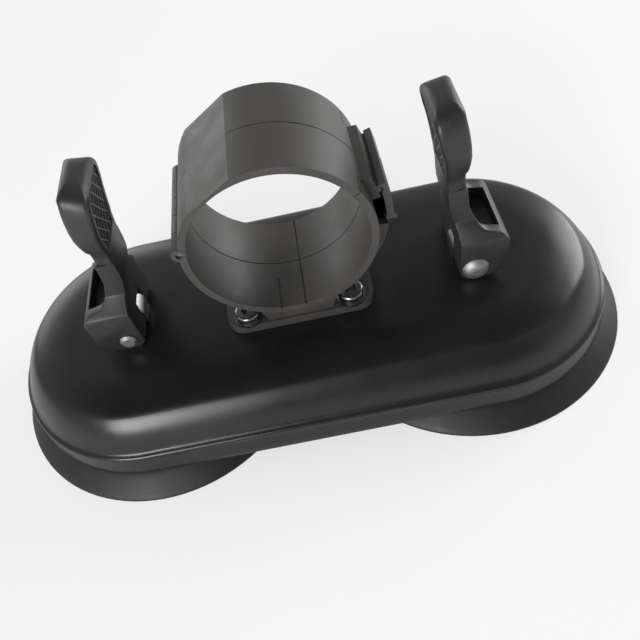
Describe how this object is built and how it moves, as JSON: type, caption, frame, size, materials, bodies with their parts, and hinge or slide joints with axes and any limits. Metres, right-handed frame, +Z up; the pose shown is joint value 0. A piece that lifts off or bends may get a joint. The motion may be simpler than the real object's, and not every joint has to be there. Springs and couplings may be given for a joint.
{
  "type": "twin suction cup tube clamp base",
  "caption": "Twin suction cup base with a satin black cover, flip levers that cam up the cup centres, and a hinged split ring that clamps a tube across the middle.",
  "frame": {"origin": "on the mounting surface under the middle of the clamp, at the centre of the object's footprint", "axes": "+Z up from the mounting surface, +X along the cover towards the clamp's latch side, +Y along the clamp's bore"},
  "size_m": [0.2422, 0.1172, 0.1058],
  "materials": {
    "cover_plastic": "satin black moulded plastic",
    "clamp_plastic": "satin dark grey moulded plastic",
    "lever_plastic": "satin black moulded plastic",
    "cup_rubber": "smooth black rubber",
    "pin_steel": "bright steel",
    "stem_steel": "plain steel",
    "screw_steel": "bright zinc plated steel",
    "plate_steel": "zinc plated steel"
  },
  "bodies": {
    "base": {"housing_cover": "cover_plastic", "suction_cup_left": "cup_rubber", "suction_cup_right": "cup_rubber", "clamp_saddle": "clamp_plastic", "hinge_pin": "pin_steel", "latch_pin": "pin_steel", "backing_plate": "plate_steel", "saddle_screws": "screw_steel", "saddle_washers": "screw_steel", "saddle_nuts": "plate_steel"},
    "stem_left": {"stem_left": "stem_steel", "stem_disc_left": "stem_steel"},
    "stem_right": {"stem_right": "stem_steel", "stem_disc_right": "stem_steel"},
    "lever_left": {"lever_left": "lever_plastic", "lever_pin_left": "pin_steel"},
    "lever_right": {"lever_right": "lever_plastic", "lever_pin_right": "pin_steel"},
    "clamp_upper": {"clamp_upper": "clamp_plastic"},
    "latch": {"latch_plate": "clamp_plastic"}
  },
  "joints": [
    {"name": "stem_left_slide", "type": "slide", "parent": "base", "child": "stem_left", "axis": [0, 0, 1], "range_m": [0, 0.0064], "deforming": ["suction_cup_left"]},
    {"name": "lever_left_hinge", "type": "hinge", "parent": "stem_left", "child": "lever_left", "pos_m": [-0.0625, 0, 0.0397], "axis": [0, -1, 0], "range_deg": [0, 90]},
    {"name": "stem_right_slide", "type": "slide", "parent": "base", "child": "stem_right", "axis": [0, 0, 1], "range_m": [0, 0.0064], "deforming": ["suction_cup_right"]},
    {"name": "lever_right_hinge", "type": "hinge", "parent": "stem_right", "child": "lever_right", "pos_m": [0.0625, 0, 0.0397], "axis": [0, 1, 0], "range_deg": [0, 90]},
    {"name": "clamp_hinge", "type": "hinge", "parent": "base", "child": "clamp_upper", "pos_m": [-0.02984, 0, 0.08056], "axis": [0, -1, 0], "range_deg": [0, 60]},
    {"name": "latch_hinge", "type": "hinge", "parent": "base", "child": "latch", "pos_m": [0.02795, 0, 0.06013], "axis": [0, 1, 0], "range_deg": [0, 120]}
  ],
  "couplings": [
    {"joint": "stem_left_slide", "follows": "lever_left_hinge", "m_per_rad": 0.0040744},
    {"joint": "stem_right_slide", "follows": "lever_right_hinge", "m_per_rad": 0.0040744},
    {"joint": "latch_hinge", "follows": "clamp_hinge", "ratio": 2}
  ]
}
